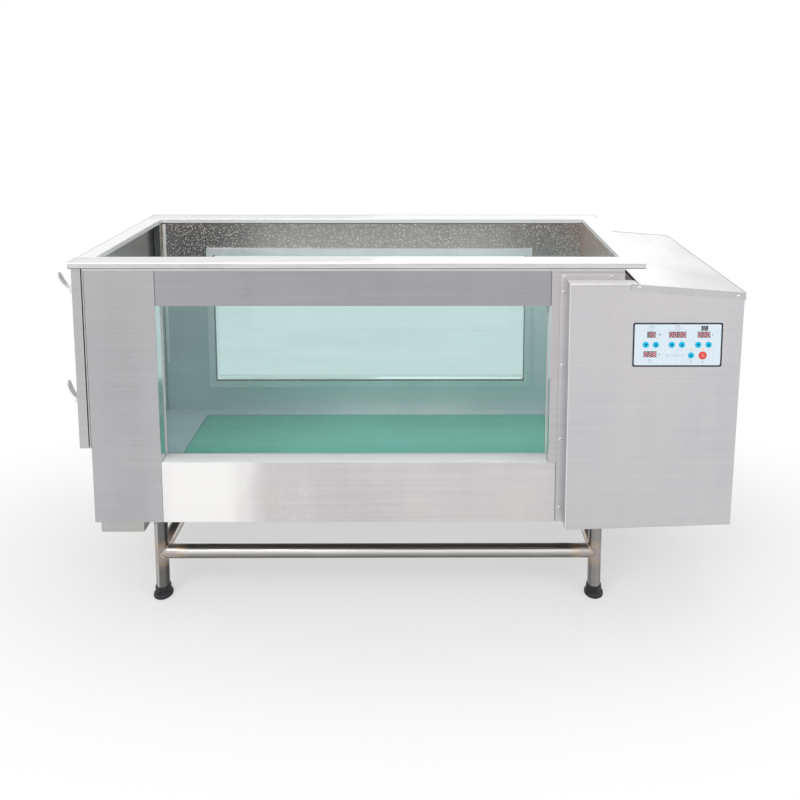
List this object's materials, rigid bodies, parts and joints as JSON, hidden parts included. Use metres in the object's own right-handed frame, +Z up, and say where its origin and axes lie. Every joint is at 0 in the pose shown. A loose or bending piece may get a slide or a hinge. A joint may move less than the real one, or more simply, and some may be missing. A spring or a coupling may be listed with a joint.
{
  "type": "dog underwater treadmill",
  "caption": "Stainless steel water tank on tube legs with long glazed walls, a side-hung end door with lever latches, a belt on rollers in its floor and a key panel on its drive housing.",
  "frame": {"origin": "middle of the whole object's footprint, on the floor under the rubber feet", "axes": "+X along the tank from the door to the control housing, +Y from the front to the rear, +Z up"},
  "size_m": [1.9206, 0.6666, 1.015],
  "materials": {
    "brushed_steel": "brushed",
    "polished_steel": "polished",
    "glass": "clear, tinted",
    "black_rubber": "matte",
    "grey_rubber": "matte",
    "green_belt": "fine textured",
    "deck_board": "matte",
    "motor_enamel": "enamel",
    "cast_aluminium": "machined",
    "panel_film": "satin film",
    "display_black": "gloss",
    "blue_key": "satin",
    "red_key": "satin"
  },
  "bodies": {
    "tank": {"leg_front_left": "polished_steel", "leg_front_right": "polished_steel", "leg_rear_left": "polished_steel", "leg_rear_right": "polished_steel", "foot_front_left": "black_rubber", "foot_front_right": "black_rubber", "foot_rear_left": "black_rubber", "foot_rear_right": "black_rubber", "stretcher_front": "polished_steel", "stretcher_rear": "polished_steel", "stretcher_left": "polished_steel", "stretcher_right": "polished_steel", "front_left_column": "brushed_steel", "front_header": "brushed_steel", "front_lower_panel": "brushed_steel", "front_right_column": "brushed_steel", "rear_wall": "brushed_steel", "right_end_wall": "brushed_steel", "door_jamb": "brushed_steel", "tank_floor": "brushed_steel", "drain_trough": "brushed_steel", "front_window": "glass", "rear_window": "glass", "rim_front": "polished_steel", "rim_rear": "polished_steel", "rim_right": "polished_steel", "hinge_frame_leaf": "polished_steel", "hinge_pin": "polished_steel", "belt_rail_front": "brushed_steel", "belt_rail_rear": "brushed_steel", "running_deck": "deck_board", "walking_belt": "green_belt", "belt_cover_left": "brushed_steel", "belt_cover_right": "brushed_steel", "gear_motor": "motor_enamel", "drive_belt": "black_rubber", "drive_cover": "brushed_steel", "control_housing": "brushed_steel", "housing_lid": "brushed_steel", "control_panel": "panel_film", "display_board": "display_black"},
    "door": {"door_panel": "brushed_steel", "door_gasket": "grey_rubber", "hinge_door_leaf": "polished_steel", "latch_bracket_upper": "polished_steel", "latch_bracket_lower": "polished_steel"},
    "upper_latch": {"latch_lever_upper": "polished_steel"},
    "lower_latch": {"latch_lever_lower": "polished_steel"},
    "idler": {"idler_roller": "polished_steel"},
    "drive": {"drive_roller": "polished_steel", "driven_pulley": "cast_aluminium"},
    "motor_shaft": {"motor_pulley": "cast_aluminium"},
    "time_down": {"key_time_down": "blue_key"},
    "time_up": {"key_time_up": "blue_key"},
    "speed_down": {"key_speed_down": "blue_key"},
    "speed_up": {"key_speed_up": "blue_key"},
    "heat_down": {"key_heat_down": "blue_key"},
    "heat_up": {"key_heat_up": "blue_key"},
    "start": {"key_start": "blue_key"},
    "stop": {"key_stop": "red_key"}
  },
  "joints": [
    {"name": "door_swing", "type": "hinge", "parent": "tank", "child": "door", "pos_m": [-0.9162, 0.3205, 0.4655], "axis": [0, 0, -1], "range_deg": [0, 110]},
    {"name": "upper_latch_turn", "type": "hinge", "parent": "door", "child": "upper_latch", "pos_m": [-0.918, -0.253, 0.924], "axis": [0, -1, 0], "range_deg": [0, 105]},
    {"name": "lower_latch_turn", "type": "hinge", "parent": "door", "child": "lower_latch", "pos_m": [-0.918, -0.253, 0.6], "axis": [0, -1, 0], "range_deg": [0, 105]},
    {"name": "drive_roller_spin", "type": "hinge", "parent": "tank", "child": "drive", "pos_m": [0.54165, 0.013, 0.2812], "axis": [0, 1, 0], "continuous": true},
    {"name": "idler_roller_spin", "type": "hinge", "parent": "tank", "child": "idler", "pos_m": [-0.69835, 0.013, 0.2812], "axis": [0, 1, 0], "continuous": true},
    {"name": "motor_shaft_spin", "type": "hinge", "parent": "tank", "child": "motor_shaft", "pos_m": [0.71665, -0.3198, 0.414], "axis": [0, 1, 0], "continuous": true},
    {"name": "time_down_press", "type": "slide", "parent": "tank", "child": "time_down", "axis": [0, 1, 0], "range_m": [0, 0.0008], "stiffness_N_per_m": 800, "springref_m": -0.0008},
    {"name": "time_up_press", "type": "slide", "parent": "tank", "child": "time_up", "axis": [0, 1, 0], "range_m": [0, 0.0008], "stiffness_N_per_m": 800, "springref_m": -0.0008},
    {"name": "speed_down_press", "type": "slide", "parent": "tank", "child": "speed_down", "axis": [0, 1, 0], "range_m": [0, 0.0008], "stiffness_N_per_m": 800, "springref_m": -0.0008},
    {"name": "speed_up_press", "type": "slide", "parent": "tank", "child": "speed_up", "axis": [0, 1, 0], "range_m": [0, 0.0008], "stiffness_N_per_m": 800, "springref_m": -0.0008},
    {"name": "heat_down_press", "type": "slide", "parent": "tank", "child": "heat_down", "axis": [0, 1, 0], "range_m": [0, 0.0008], "stiffness_N_per_m": 800, "springref_m": -0.0008},
    {"name": "heat_up_press", "type": "slide", "parent": "tank", "child": "heat_up", "axis": [0, 1, 0], "range_m": [0, 0.0008], "stiffness_N_per_m": 800, "springref_m": -0.0008},
    {"name": "start_press", "type": "slide", "parent": "tank", "child": "start", "axis": [0, 1, 0], "range_m": [0, 0.0008], "stiffness_N_per_m": 800, "springref_m": -0.0008},
    {"name": "stop_press", "type": "slide", "parent": "tank", "child": "stop", "axis": [0, 1, 0], "range_m": [0, 0.0008], "stiffness_N_per_m": 800, "springref_m": -0.0008}
  ],
  "couplings": [
    {"joint": "idler_roller_spin", "follows": "drive_roller_spin", "ratio": 1},
    {"joint": "motor_shaft_spin", "follows": "drive_roller_spin", "ratio": 0.8}
  ]
}
